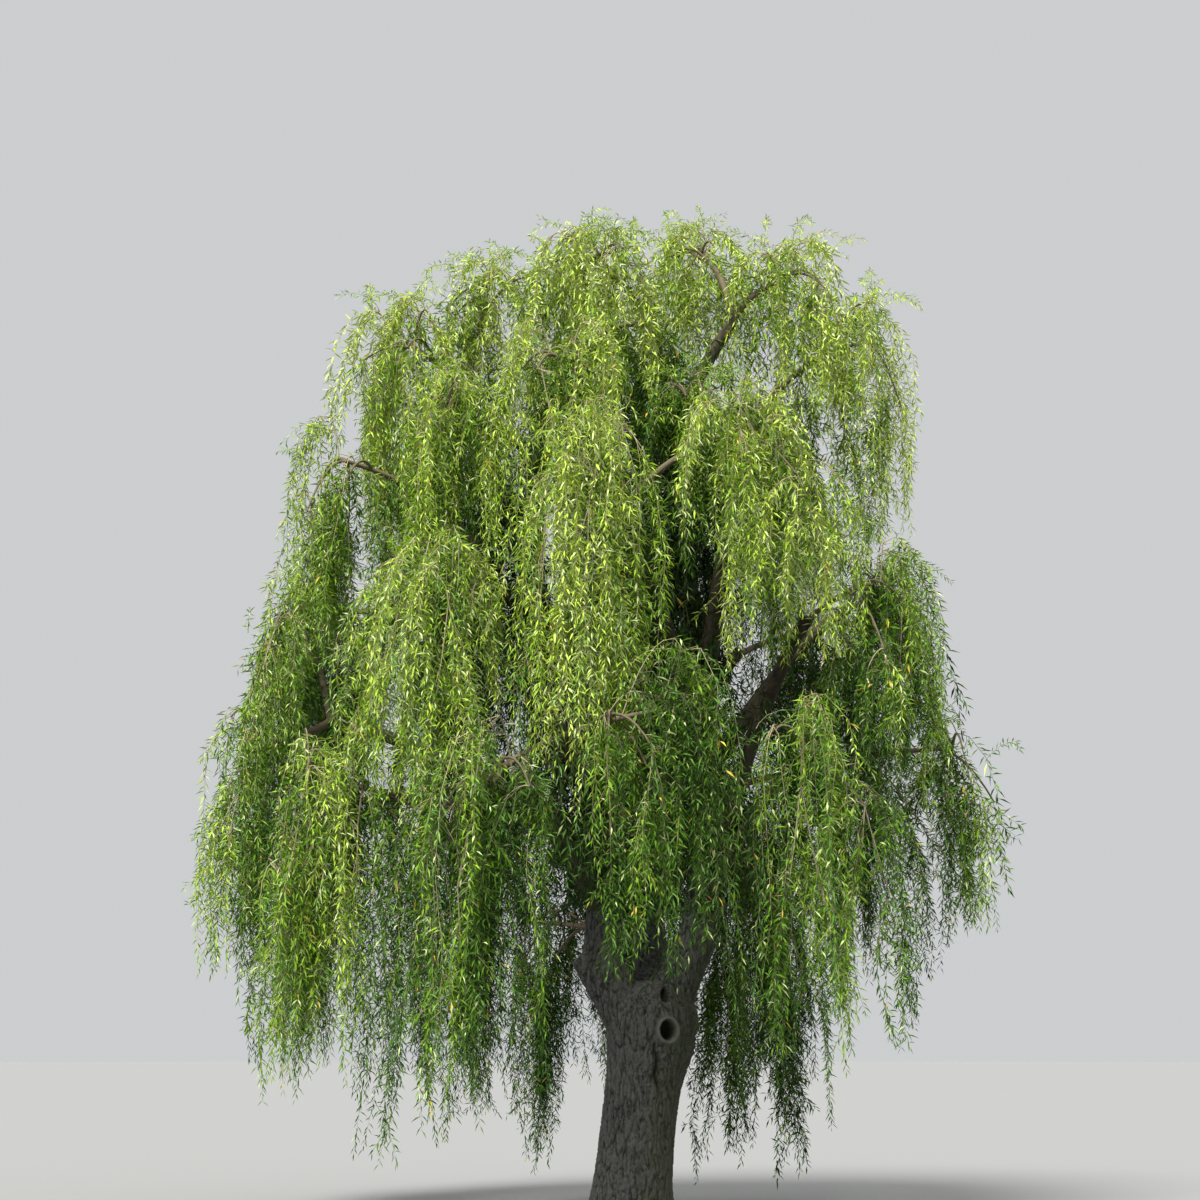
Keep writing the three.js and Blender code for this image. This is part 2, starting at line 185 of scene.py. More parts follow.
# ---- shoots
SHOOT_KINDS = {  # steps along a shoot, how far it sways, its radius, and the size of its leaves
    "hanging": (5, 0.050, 0.0042, 1.0),
    "inner": (5, 0.035, 0.0042, 1.25),
    "sprig": (4, 0.02, 0.0035, 0.8),
    "side": (1, 0.02, 0.0026, 0.92),
}
SHOOT_PACKING = 1.6  # packs a shoot's knots towards its foot, where it bends
SHOOT_TAPER = 0.12  # a shoot's radius at its tip, as a share of that at its foot
HANG_SLOPE = math.radians(86)  # the steepness that shoots bend over to
HANG_SPREAD = math.radians(3)
TRESS = (4, 7)  # shoots on one branchlet, which hang as one lock
LOCK_PULL = 0.62  # how far the tips of one lock draw together, from 0 to 1
SPILL = 0.10  # how far a shoot's stem may swing out past the sides of its mass
OVERHANG = 0.14  # how far shoots may hang past the foot of their mass
SHOOT_LENGTHS = (0.3, 3.0)
SIDE_SHOOTS = 9  # the most on one shoot
SIDE_SHOOT_CHANCE = 0.36
SIDE_SHOOT_LENGTHS = (0.12, 0.42)
TOP_SPRIGS = {"top": 24, "shoulder": 18}  # for each mass with this word in its name
OTHER_SPRIGS = 3
INNER_SHOOTS_PER_METRE = 4.0
LIMB_SHOOTS_PER_METRE = 34.0
INNER_LENGTHS = (0.4, 1.6)
INNER_HEM = 2.7  # the height that shoots inside the crown end above
# Painted shade on the leaves and twigs of the shoots that hang inside the crown.
INNER_SHADE = -0.08

# ---- leaves
LEAF_LENGTH = 0.083
LEAF_WIDTH = 0.185  # as a share of its length
LEAF_SPACING = 0.0246
LEAF_TURN = 2.4  # from one leaf to the next round the shoot, in radians
BARE_FOOT = 0.07  # the share of a shoot's length, from its foot, that has no leaves
FULL_LEAF_SUN = 1.05  # sprays sunnier than this have leaves of four faces, and the rest of two
FULL_LEAF = np.array([(0, 2, 1), (1, 2, 4), (1, 4, 3), (3, 4, 5)])
PLAIN_LEAF = np.array([(0, 3, 1), (0, 2, 3)])

# ---- how single masses differ
MASSES = {  # how full each is, how far its shoots reach towards the frame's hem, and the painted light on its leaves
    "top_middle": (0.85, 1, 0.46),
    "top_left": (0.8, 1, 0.42),
    "top_peak": (0.55, 1, 0.32),
    "top_right": (0.75, 1, 0.42),
    "top_back": (0.8, 1, 0),
    "top_inner": (0.6, 1, 0),
    "right_shoulder": (0.75, 1, 0.3),
    "left_shoulder": (0.85, 1, 0.24),
    "back_left_upper": (0.85, 1, 0),
    "back_right_upper": (0.8, 1, 0),
    "front_cascade": (1.4, 1, 0.4),
    "right_front_dome": (1, 1, 0.42),
    "upper_front": (1, 1, 0.36),
    "left_front_upper": (1, 1, 0.2),
    "left_outer_upper": (1, 1, 0.18),
    "right_outer": (0.55, 0.92, 0.2),
    "right_mid": (0.7, 1, 0.08),
    "left_mid": (1, 1, 0.32),
    "left_mid_outer": (1, 1, 0.12),
    "centre_low": (1.1, 0.97, -0.12),
    "right_low_outer": (0.6, 0.82, 0.16),
    "right_low_front": (0.85, 0.97, 0.1),
    "right_low_back": (0.65, 0.9, 0.08),
    "left_low_outer": (0.9, 1, 0.1),
    "left_centre_low": (1, 1.05, -0.08),
    "left_low_front": (1, 1.02, 0.12),
    "left_low_back": (1, 1, 0.06),
    "inner_right": (1.1, 1, 0.12),
    "inner_left": (0.8, 1, 0.12),
    "inner_back": (0.8, 1, 0.12),
}
OTHER_MASS = (1, 1, 0)

rng = np.random.default_rng(SEED)
noise.seed_set(SEED)
# The middle of the crown, a little above the whole tree's, and half the tree's size.
crown_middle = (np.array(cad_box[0]) + cad_box[1]) / 2 + (0, 0, 0.3)
crown_half = (np.array(cad_box[1]) - cad_box[0]) / 2


# ---- small helpers
def unit(vectors):
    """Vectors of length 1, along the last axis."""
    return vectors / np.maximum(np.linalg.norm(vectors, axis=-1, keepdims=True), 1e-9)


def square_to(vectors, ahead):
    """The parts of vectors that are square to others, at length 1."""
    return unit(vectors - (vectors * ahead).sum(-1, keepdims=True) * ahead)


def plan_direction(angle):
    return np.stack([np.cos(angle), np.sin(angle), np.zeros_like(angle)], axis=-1)


def bezier(foot, bend, tip, count):
    """Points along a curve from foot to tip, pulled towards bend."""
    t = np.linspace(0, 1, count)[:, None]
    return (1 - t) ** 2 * foot + 2 * t * (1 - t) * bend + t**2 * tip


def length_of(line):
    return np.linalg.norm(np.diff(line, axis=0), axis=1).sum()


def distances(line):
    """How far along a line each of its points is."""
    return np.concatenate([[0], np.cumsum(np.linalg.norm(np.diff(line, axis=0), axis=1))])


def points_at(line, wanted):
    """The points at these distances along a line."""
    known = distances(line)
    return np.stack([np.interp(wanted, known, line[:, k]) for k in range(3)], axis=1)


def part_way(line, share):
    """The point a share of the way along a line's steps, the step there, and its number."""
    at = share * (len(line) - 1)
    i = min(int(at), len(line) - 2)
    step = line[i + 1] - line[i]
    return line[i] + step * (at - i), step, i


def resample(line, values, count):
    """A smooth curve through a line's points, at even steps, with a value for each."""
    steps = np.linalg.norm(np.diff(line, axis=0), axis=1)
    along = distances(line)
    slopes = np.gradient(line, along, axis=0)
    wanted = np.linspace(0, along[-1], count)
    i = np.clip(np.searchsorted(along, wanted, side="right") - 1, 0, len(steps) - 1)
    span = steps[i][:, None]
    t = ((wanted - along[i]) / steps[i])[:, None]
    curve = (
        (2 * t**3 - 3 * t**2 + 1) * line[i]
        + (t**3 - 2 * t**2 + t) * span * slopes[i]
        + (3 * t**2 - 2 * t**3) * line[i + 1]
        + (t**3 - t**2) * span * slopes[i + 1]
    )
    return curve, np.interp(wanted, along, values)


def read_rows(items, name, width, kind=np.float32):
    """One property of a mesh's items as an array with a row for each."""
    flat = np.zeros(len(items) * width, kind)
    items.foreach_get(name, flat)
    return flat.reshape(-1, width)


def add_to_scene(name, data):
    made = bpy.data.objects.new(name, data)
    bpy.context.scene.collection.objects.link(made)
    return made


def mesh_object(name, points, faces, colours=None, smooth=True):
    """A mesh object from arrays: points (n, 3), faces (m, corners) and a material number for each face."""
    mesh = bpy.data.meshes.new(name)
    count, corners = faces.shape
    mesh.vertices.add(len(points))
    mesh.vertices.foreach_set("co", np.asarray(points, np.float32).ravel())
    mesh.loops.add(count * corners)
    mesh.loops.foreach_set("vertex_index", faces.astype(np.int32).ravel())
    mesh.polygons.add(count)
    mesh.polygons.foreach_set("loop_start", np.arange(0, count * corners, corners, dtype=np.int32))
    if colours is not None:
        mesh.polygons.foreach_set("material_index", colours.astype(np.int32))
    mesh.polygons.foreach_set("use_smooth", np.full(count, smooth))
    mesh.update(calc_edges=True)
    return add_to_scene(name, mesh)


def joined(parts):
    """Several (points, faces, colours) as one."""
    points, faces, colours = zip(*parts)
    starts = np.cumsum([0] + [len(p) for p in points[:-1]])
    faces = [f + start for f, start in zip(faces, starts)]
    return np.concatenate(points), np.concatenate(faces), np.concatenate(colours)


# ---- materials
def new_material(name, roughness, specular):
    material = bpy.data.materials.new(name)
    material.use_nodes = True
    shader = material.node_tree.nodes["Principled BSDF"]
    shader.inputs["Roughness"].default_value = roughness
    shader.inputs["Specular IOR Level"].default_value = specular
    return material, shader


def plain_materials(colours, roughness, specular):
    """A material of one plain colour for each named colour."""
    made = []
    for name, colour in colours.items():
        material, shader = new_material(name, roughness, specular)
        shader.inputs["Base Color"].default_value = (*colour, 1)
        made.append(material)
    return made


def add_node(material, kind, output, inputs, **settings):
    """One output of a new node, whose inputs are set to values or linked to other nodes' outputs."""
    node = material.node_tree.nodes.new("ShaderNode" + kind)
    for name, value in settings.items():
        setattr(node, name, value)
    for socket, value in inputs.items():
        if isinstance(value, bpy.types.NodeSocket):
            material.node_tree.links.new(value, node.inputs[socket])
        else:
            node.inputs[socket].default_value = value
    return node.outputs[output]


def bark_material(name, furrow, ridge, moss, grain):
    """Bark whose furrows and sheltered side are read from the mesh, with fine grain on top. The furrows'
    colour is their own darker tone deepened with painted shade.
    """
    material, shader = new_material(name, 0.92, 0.2)
    add = functools.partial(add_node, material)

    def mix(factor, first, second):
        return add("Mix", "Result", {"Factor": factor, "A": first, "B": second}, data_type="RGBA")

    place = add("TexCoord", "Object", {})
    stretched = add("Mapping", "Vector", {"Vector": place, "Scale": (1, 1, 0.3)})
    texture = {"Vector": stretched, "Scale": grain, "Detail": 6, "Roughness": 0.65}
    fine = add("TexNoise", "Fac", texture)
    broad = add("TexNoise", "Fac", {"Vector": place, "Scale": 4, "Detail": 3})

    # Low relief takes the furrow colour: the bark's own darker tone with painted shade in the furrows.
    relief = add("Attribute", "Fac", {}, attribute_name="relief")
    speckled = add("Math", "Value", {0: fine, 1: 0.9, 2: relief}, operation="MULTIPLY_ADD")
    share = add("MapRange", "Result", {"Value": speckled, "From Min": 0.55, "From Max": 1.80})
    shade = mix(share, (*furrow, 1), (*ridge, 1))
    sheltered = add("Attribute", "Fac", {}, attribute_name="moss")
    patch = add("Math", "Value", {0: sheltered, 1: broad}, operation="MULTIPLY")
    bump = add("Bump", "Normal", {"Height": fine, "Strength": 0.5, "Distance": 0.004})
    material.node_tree.links.new(mix(patch, shade, (*moss, 1)), shader.inputs["Base Color"])
    material.node_tree.links.new(bump, shader.inputs["Normal"])
    return material


# ---- reading the frame's wood
def node_points(node):
    return read_rows(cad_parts[node].data.vertices, "co", 3).astype(float)


def node_edges(node):
    return read_rows(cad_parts[node].data.edges, "vertices", 2, np.int32)


def section(points, edges, along, station):
    """Where a solid's edges cross the plane at one station along an axis."""
    a, b = along[edges[:, 0]], along[edges[:, 1]]
    crossing = (a - station) * (b - station) < 0
    a, b, edges = a[crossing], b[crossing], edges[crossing]
    t = ((station - a) / (b - a))[:, None]
    return points[edges[:, 0]] * (1 - t) + points[edges[:, 1]] * t


def centreline(node, slices=13):
    """The middle of a limb or bough, from its foot to its tip, and its radius along it."""
    points, edges = node_points(node), node_edges(node)
    axis = np.linalg.svd(points - points.mean(0), full_matrices=False)[2][0]
    axis *= np.sign(axis[2])
    along = points @ axis
    span = along.max() - along.min()
    stations = np.linspace(along.min() + 0.09 * span, along.max() - 0.04 * span, slices)
    rims = [section(points, edges, along, s) for s in stations]
    line = np.array([(rim.min(0) + rim.max(0)) / 2 for rim in rims])
    ahead = unit(np.gradient(line, axis=0))
    radii = []
    for rim, centre, tangent in zip(rims, line, ahead):
        off = rim - centre
        off -= np.outer(off @ tangent, tangent)
        radii.append(np.linalg.norm(off, axis=1).max())
    fit = np.polyfit(np.linspace(0, 1, slices), radii, 1)
    return line, np.polyval(fit, np.linspace(0, 1, slices))


def wood_lines(word):
    return {name: centreline(name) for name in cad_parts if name.startswith(word)}


def rooted(line, radii, root, swell):
    """A centreline that starts at a root inside the wood it grows from, swollen there."""
    return np.concatenate([[root], line]), np.concatenate([[radii[0] * swell], radii])


def nearest_on(line, place):
    """The point nearest to a place on a line of points."""
    fine, _ = resample(line, np.zeros(len(line)), 200)
    return fine[np.linalg.norm(fine - place, axis=1).argmin()]


def rooted_wood():
    """The limbs' centrelines, from inside the trunk, and the boughs', from inside their nearest limbs."""
    limbs, boughs = wood_lines("limb_"), wood_lines("bough_")
    trunk = node_points("trunk")
    top = trunk[trunk[:, 2] > trunk[:, 2].max() - 0.05].mean(0)
    for name, (line, radii) in limbs.items():
        limbs[name] = rooted(line, radii, top - LIMB_ROOT, 1.0)
    for name, (line, radii) in boughs.items():
        roots = [nearest_on(limb, line[0] - (0, 0, 0.12)) for limb, _ in limbs.values()]
        root = min(roots, key=lambda place: np.linalg.norm(place - line[0]))
        boughs[name] = rooted(line, radii, root, BOUGH_SWELL)
    return limbs, boughs


# ---- tubes
def tube(line, radii, sides):
    """Rings of points round a line: (knots, sides, 3)."""
    ahead = unit(np.gradient(line, axis=0))
    side = np.cross(ahead[0], (0.0, 1.0, 0.0))
    angles = np.arange(sides) * math.tau / sides
    rings = []
    for centre, tangent, radius in zip(line, ahead, radii):
        side = unit(side - (side @ tangent) * tangent)
        other = np.cross(tangent, side)
        rings.append(centre + radius * (np.outer(np.cos(angles), side) + np.outer(np.sin(angles), other)))
    return np.array(rings)


def tube_faces(knots, sides):
    ring, turn = np.meshgrid(np.arange(knots - 1), np.arange(sides), indexing="ij")
    a = (ring * sides + turn).ravel()
    b = (ring * sides + (turn + 1) % sides).ravel()
    return np.stack([a, b, b + sides, a + sides], axis=1)


def closed_tube(rings):
    """A closed mesh of triangles from rings, with a point in the middle of each end."""
    knots, sides = rings.shape[:2]
    points = np.concatenate([rings.reshape(-1, 3), [rings[0].mean(0), rings[-1].mean(0)]])
    turn = np.arange(sides)
    following = (turn + 1) % sides
    last = (knots - 1) * sides
    foot = np.stack([following, turn, np.full(sides, knots * sides)], axis=1)
    tip = np.stack([last + turn, last + following, np.full(sides, knots * sides + 1)], axis=1)
    quads = tube_faces(knots, sides)
    faces = np.concatenate([quads[:, [0, 1, 2]], quads[:, [0, 2, 3]], foot, tip])
    return points, faces, np.zeros(len(faces), int)


# ---- bark
def furrows(place, width, length):
    """Height, from 0 in a furrow to 1 on a ridge, of bark with long furrows and cracks across."""
    warp = noise.noise_vector(place * 3.0) * 0.03 + noise.noise_vector(place * 14.0) * 0.008
    x, y, z = place.x + warp.x, place.y + warp.y, place.z
    coarse = abs(noise.noise(Vector((x / width, y / width, z / length))))
    fine = abs(noise.noise(Vector((2.6 * x / width, 2.6 * y / width, 2.1 * z / length + 7))))
    crack = abs(noise.noise(Vector((x / width, y / width, 2.4 * z / width + 31))))
    height = 0.48 * min(1.0, coarse / 0.20) + 0.32 * min(1.0, fine / 0.24) + 0.20 * min(1.0, crack / 0.16)
    return height**1.3


def bark(points, normals, grain, depth, width, length):
    """Points pushed along their normals by the bark's relief, and the relief, from 0 to 1."""
    height = np.empty(len(points))
    for i, place in enumerate(grain):
        at = Vector(place)
        height[i] = furrows(at, width, length) + 0.12 * noise.noise(at * 60)
    return points + normals * ((height - 0.6) * depth)[:, None], np.clip(height, 0, 1)


def mark_bark(piece, relief, moss):
    """Keeps the relief, which the bark also shows as painted shade in its furrows, and the mossiness of a
    piece's points for its material to read.
    """
    for name, values in (("relief", relief), ("moss", moss)):
        attribute = piece.data.attributes.new(name, "FLOAT", "POINT")
        attribute.data.foreach_set("value", np.asarray(values, np.float32))


def finish_wood(piece, node, slot, barks):
    piece.data.materials.clear()
    piece.data.materials.append(barks[slot])
    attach(piece, "root")
    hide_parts(node)


# ---- trunk
def smooth_rim(rim, angles):
    """The middle of a rim of points, and its smoothed reach from there at each angle."""
    centre = (rim.min(0) + rim.max(0)) / 2
    off = rim[:, :2] - centre[:2]
    turn = np.arctan2(off[:, 1], off[:, 0])
    order = np.argsort(turn)
    around = np.interp(angles, turn[order], np.linalg.norm(off, axis=1)[order], period=math.tau)
    waves = np.fft.rfft(around)
    waves[TRUNK_LOBES + 1 :] = 0
    return centre, np.fft.irfft(waves, len(angles))


def trunk_rings(columns=72, rows=46):
    """The trunk's rings from the frame, each rim smoothed round and along it."""
    points, edges = node_points("trunk"), node_edges("trunk")
    top = points[:, 2].max()
    stations = np.concatenate([[0.004], np.linspace(0.09, top - 0.02, 16)])
    angles = np.linspace(-math.pi, math.pi, columns, endpoint=False)
    rims = [smooth_rim(section(points, edges, points[:, 2], station), angles) for station in stations]
    centres, reaches = (np.array(part) for part in zip(*rims))
    heights = np.linspace(0, top - 0.02, rows)
    crotch = np.clip((heights - (top - CROTCH_DEPTH)) / CROTCH_DEPTH, 0, 1)
    middle = np.stack([np.interp(heights, stations, centres[:, k]) for k in (0, 1)], axis=1)
    reach = np.stack([np.interp(heights, stations, column) for column in reaches.T], axis=1)
    reach *= np.sqrt(1 - 0.8 * crotch**2)[:, None]
    rings = reach[:, :, None] * plan_direction(angles)
    rings[:, :, :2] += middle[:, None]
    rings[:, :, 2] = heights[:, None]
    return rings


def oval(points, middle, half):
    """How far points are from the middle of an upright oval on the trunk's front, as a share of its size."""
    return np.hypot((points[:, 0] - middle[0]) / half[0], (points[:, 2] - middle[1]) / half[1])


def trunk_marks(points):
    """How far the marks push the trunk's front out, how much painted shade darkens them in the hole, the
    cavity and the seam, and how smooth they are, from 0 to 1.
    """
    x, y, z = points.T
    rim = oval(points, SCAR, SCAR_RIM)
    ring = np.exp(-(((rim - 0.82) / 0.24) ** 2))
    hole = np.clip(1.25 - oval(points, SCAR, SCAR_HOLE), 0, 1)
    push = SCAR_RIM_HEIGHT * ring - SCAR_HOLE_DEPTH * np.clip(hole * 2.4, 0, 1)
    # Painted shade in the scar's hole, and further on in the cavity and the seam.
    painted_hollow_shade = np.clip(hole * 3.5, 0, 1)

    hollow = np.clip(1.3 - oval(points, CAVITY, CAVITY_HOLE), 0, 1)
    push -= CAVITY_DEPTH * np.clip(hollow * 1.8, 0, 1)
    painted_hollow_shade = np.maximum(painted_hollow_shade, np.clip(hollow * 2.5, 0, 1))

    share = (SEAM_TOP[1] - z) / (SEAM_TOP[1] - SEAM_FOOT[1])
    middle = SEAM_TOP[0] + share * (SEAM_FOOT[0] - SEAM_TOP[0]) + 0.012 * np.sin(z * 23)
    ends = np.clip(share * 5, 0, 1) * np.clip((1 - share) * 3, 0, 1)
    seam = np.exp(-(((x - middle) / SEAM_WIDTH) ** 2)) * ends
    push -= SEAM_DEPTH * seam
    painted_hollow_shade = np.maximum(painted_hollow_shade, 0.8 * seam)

    burl = np.exp(-(((x - BURL[0]) / BURL_HALF[0]) ** 2) - ((z - BURL[1]) / BURL_HALF[1]) ** 2)
    folds = np.sin((z - 0.55 * x) * 85 + 2 * np.sin(x * 14)) * np.exp(-(((z - 1.52) / 0.12) ** 2))
    push += BURL_HEIGHT * burl + FOLD_HEIGHT * folds * (x > middle)
    front = (y < -0.05).astype(float)
    return push * front, painted_hollow_shade * front, np.clip(ring, 0, 1) * front


def blended(line, radii):
    """The foot of a limb as a closed tube, wide where it leaves the trunk."""
    stub = np.linspace(0, LIMB_STUB + LIMB_LAP, 16)
    spread = np.clip((LIMB_STUB - stub) / LIMB_STUB, 0, 1) ** 2
    lapped = np.where(stub > LIMB_STUB, 0.94, 1.0)
    thick = np.interp(stub, distances(line), radii) * (1 + FORK_SWELL * spread) * lapped
    return closed_tube(tube(points_at(line, stub), thick, 28))


def merged(name, parts):
    """Closed shapes as one object with one skin, softened where they meet."""
    points, faces, _ = joined(parts)
    rough = mesh_object(name + "_rough", points, faces)
    remesh = rough.modifiers.new("union", "REMESH")
    remesh.mode = "VOXEL"
    remesh.voxel_size = TRUNK_VOXEL
    soften = rough.modifiers.new("soften", "SMOOTH")
    soften.iterations = TRUNK_SOFTENING
    mesh = bpy.data.meshes.new_from_object(rough.evaluated_get(bpy.context.evaluated_depsgraph_get()))
    mesh.name = name
    bpy.data.objects.remove(rough)
    return add_to_scene(name, mesh)


def grow_trunk(limbs, barks):
    """The trunk and the feet of its limbs as one barked mesh, with no seams where they part."""
    stump = np.linspace(*np.array(STUMP), 5)
    parts = [closed_tube(trunk_rings()), closed_tube(tube(stump, np.linspace(*STUMP_RADII, 5), 24))]
    parts += [blended(line, radii) for line, radii in limbs.values()]
    piece = merged("trunk_bark", parts)
    mesh = piece.data

    points = read_rows(mesh.vertices, "co", 3).astype(float)
    normals = read_rows(mesh.vertex_normals, "vector", 3).astype(float)
    push, painted_hollow_shade, smooth = trunk_marks(points)
    level = unit(normals * (1, 1, 0.2))
    barked, relief = bark(points, normals, points, *TRUNK_FURROWS)
    moved = points + (barked - points) * (1 - 0.85 * smooth)[:, None] + level * push[:, None]
    # The foot stays flat.
    moved[points[:, 2] < TRUNK_VOXEL, 2] = 0.0
    moved[:, 2] = np.maximum(moved[:, 2], 0.0)
    mesh.vertices.foreach_set("co", moved.astype(np.float32).ravel())
    mesh.polygons.foreach_set("use_smooth", np.ones(len(mesh.polygons), bool))
    mesh.update()
    # Moss is on the right, and fades out up the trunk.
    moss = np.clip(0.15 + 0.9 * normals[:, 0], 0, 1) * np.clip(1.9 - 0.4 * points[:, 2], 0, 1)
    # Painted shade in the hole, the cavity and the seam lowers their relief towards the furrow colour.
    mark_bark(piece, np.maximum(relief, 1.5 * smooth) * (1 - painted_hollow_shade), moss)
    finish_wood(piece, "trunk", "bark", barks)


# ---- limbs and boughs
def grow_limb(kind, name, line, radii, barks):
    """A limb or bough as a closed barked tube whose furrows follow it."""
    slot, sides, depth, width = LIMB_KINDS[kind]
    length = length_of(line)
    knots = max(8, int(length / LIMB_STEP))
    line, radii = resample(line, radii, knots)
    rings = tube(line, radii, sides)
    grain = radii[:, None, None] * plan_direction(np.arange(sides) * math.tau / sides)
    grain[:, :, 2] = np.linspace(0, length, knots)[:, None]
    grain += line[0]
    normals = unit(rings - line[:, None]).reshape(-1, 3)
    sizes = (depth, width, width * FURROW_STRETCH)
    moved, relief = bark(rings.reshape(-1, 3), normals, grain.reshape(-1, 3), *sizes)
    points, faces, _ = closed_tube(moved.reshape(rings.shape))
    piece = mesh_object(name + "_bark", points, faces)
    moss = np.clip(0.2 + 0.8 * normals[:, 0], 0, 1)
    mark_bark(piece, np.append(relief, [0.5, 0.5]), np.append(moss, [0, 0]))
    finish_wood(piece, name, slot, barks)


def grow_wood(limbs, boughs):
    """The trunk, the limbs from where they leave its mesh, and the boughs."""
    barks = {slot: bark_material(slot, *look) for slot, look in BARKS.items()}
    grow_trunk(limbs, barks)
    for name, (line, radii) in limbs.items():
        known = distances(line)
        kept = np.concatenate([[LIMB_STUB], known[known > LIMB_STUB + 0.05]])
        grow_limb("limb", name, points_at(line, kept), np.interp(kept, known, radii), barks)
    for name, (line, radii) in boughs.items():
        grow_limb("bough", name, line, radii, barks)


# ---- masses of foliage
class Mass:
    """One mass of foliage in the frame: its surface, and points to grow towards."""

    def __init__(self, node):
        self.name = node.removeprefix("foliage_")
        self.density, self.reach, self.brightness = MASSES.get(self.name, OTHER_MASS)
        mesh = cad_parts[node].data
        self.surface = BVHTree.FromPolygons(
            [v.co[:] for v in mesh.vertices], [p.vertices[:] for p in mesh.polygons]
        )
        self.low, self.high = (np.array(corner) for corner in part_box(node))
        self.height = self.high[2] - self.low[2]
        self.columns = self.sample_columns()
        self.area = len(self.columns) / COLUMN_TRIES * np.prod(self.high[:2] - self.low[:2])
        self.heart = self.find_heart()

    def sample_columns(self):
        """Rows of x, y, the foot and the top of the mass there, at random places in its plan."""
        rows = []
        for x, y in rng.uniform(self.low[:2], self.high[:2], (COLUMN_TRIES, 2)):
            above = self.surface.ray_cast(Vector((x, y, self.high[2] + 1)), Vector((0, 0, -1)))[0]
            below = self.surface.ray_cast(Vector((x, y, self.low[2] - 1)), Vector((0, 0, 1)))[0]
            if above and below and above.z - below.z > 0.25:
                rows.append((x, y, below.z, above.z))
        return np.array(rows)

    def find_heart(self):
        """The point under the crest that the mass's branches fan out from."""
        crest = self.columns[np.argsort(self.columns[:, 3])[-25:]]
        x, y = crest[:, :2].mean(0)
        return np.array([x, y, self.high[2] - 0.16 * self.height - 0.12])

    def outness(self, places):
        """From -1 on the side of the mass that faces the crown's middle to 1 on its outer face."""
        middle = (self.low[:2] + self.high[:2]) / 2
        outward = unit(middle - crown_middle[:2])
        half = np.abs(outward) @ (self.high[:2] - self.low[:2]) / 2
        return np.clip((places[:, :2] - middle) @ outward / half, -1, 1)

    def hem(self, places):
        """The height of the mass's foot under each place, from the nearest sampled column."""
        apart = np.linalg.norm(places[:, None, :2] - self.columns[None, :, :2], axis=2)
        return self.columns[apart.argmin(1), 2]

    def targets(self, count):
        """Evenly spread points for branchlets to reach, under the upper surface or lower down."""
        chosen = [rng.integers(len(self.columns))]
        apart = np.full(len(self.columns), np.inf)
        for _ in range(min(count, len(self.columns)) - 1):
            latest = self.columns[chosen[-1], :2]
            apart = np.minimum(apart, np.linalg.norm(self.columns[:, :2] - latest, axis=1))
            chosen.append(int(np.argmax(apart * rng.uniform(0.6, 1, len(apart)))))
        rows = self.columns[chosen]
        depth = rng.uniform(0.0, 0.06, len(rows))
        lower = rng.random(len(rows)) < LOWER_TARGETS
        depth[lower] = rng.uniform(0.10, 0.45, lower.sum())
        z = rows[:, 3] - depth * (rows[:, 3] - rows[:, 2])
        return np.column_stack([rows[:, :2], z])


# ---- branches
def nearest_wood(place, lines):
    """The point of the wood nearest to a place and below it, and the wood's radius there."""
    line, radii = (np.concatenate(parts) for parts in zip(*lines))
    apart = np.linalg.norm(line - place, axis=1) + 2.0 * np.maximum(0, line[:, 2] - place[2] + 0.4)
    i = apart.argmin()
    return line[i], radii[i]


def grow_leader(mass, wood):
    """The branch that takes a mass from the nearest wood to its heart."""
    foot, radius = nearest_wood(mass.heart, wood)
    radius = min(radius * 0.9, LEADER_RADII[0])
    bend = foot + (mass.heart - foot) * (0.35, 0.35, 0.8)
    leader = bezier(foot, bend, mass.heart, LEADER_KNOTS)
    return leader, np.linspace(radius, LEADER_RADII[1], LEADER_KNOTS)


def grow_branchlet(fan, target):
    """A branchlet, which leaves its fan where that is near its target, and arches over to it."""
    reach = np.linalg.norm(fan - target, axis=1) + rng.uniform(0, 0.25, len(fan))
    origin = fan[int(reach[2:].argmin()) + 2]
    across = target - origin
    lift = 0.05 + 0.22 * np.linalg.norm(across[:2])
    line = bezier(origin, origin + across * (0.5, 0.5, 0.65) + (0, 0, lift), target, BRANCHLET_KNOTS)
    return line, np.linspace(*BRANCHLET_RADII, BRANCHLET_KNOTS)


def grow_branches(mass, wood):
    """The branches of one mass, each (line, radii): its leader and the fans on it, and their branchlets."""
    branches, branchlets = [grow_leader(mass, wood)], []
    leader = branches[0][0]
    count = max(9, int(BRANCHLETS_PER_AREA * mass.area * mass.density))
    targets = mass.targets(count)
    off = targets[:, :2] - mass.heart[:2]
    around = np.arctan2(off[:, 1], off[:, 0]) + rng.uniform(0, math.tau)
    fan_of = (around % math.tau / math.tau * FANS).astype(int) % FANS
    for number in range(FANS):
        members = targets[fan_of == number]
        if not len(members):
            continue
        middle = members.mean(0)
        members = middle + (members - middle) * (FAN_PULL, FAN_PULL, 1)
        outward = (members - mass.heart) * (1, 1, 0)
        members -= unit(outward) * np.minimum(SWING, 0.5 * np.linalg.norm(outward, axis=1))[:, None]
        aim = mass.heart + (middle - mass.heart) * 0.8
        start = leader[rng.integers(LEADER_KNOTS - 5, LEADER_KNOTS)]
        fan = bezier(start, (start + aim) / 2 + (0, 0, 0.12 * mass.height), aim, FAN_KNOTS)
        branches.append((fan, np.linspace(*FAN_RADII, FAN_KNOTS)))
        branchlets += [grow_branchlet(fan, target) for target in members]
    return branches, branchlets


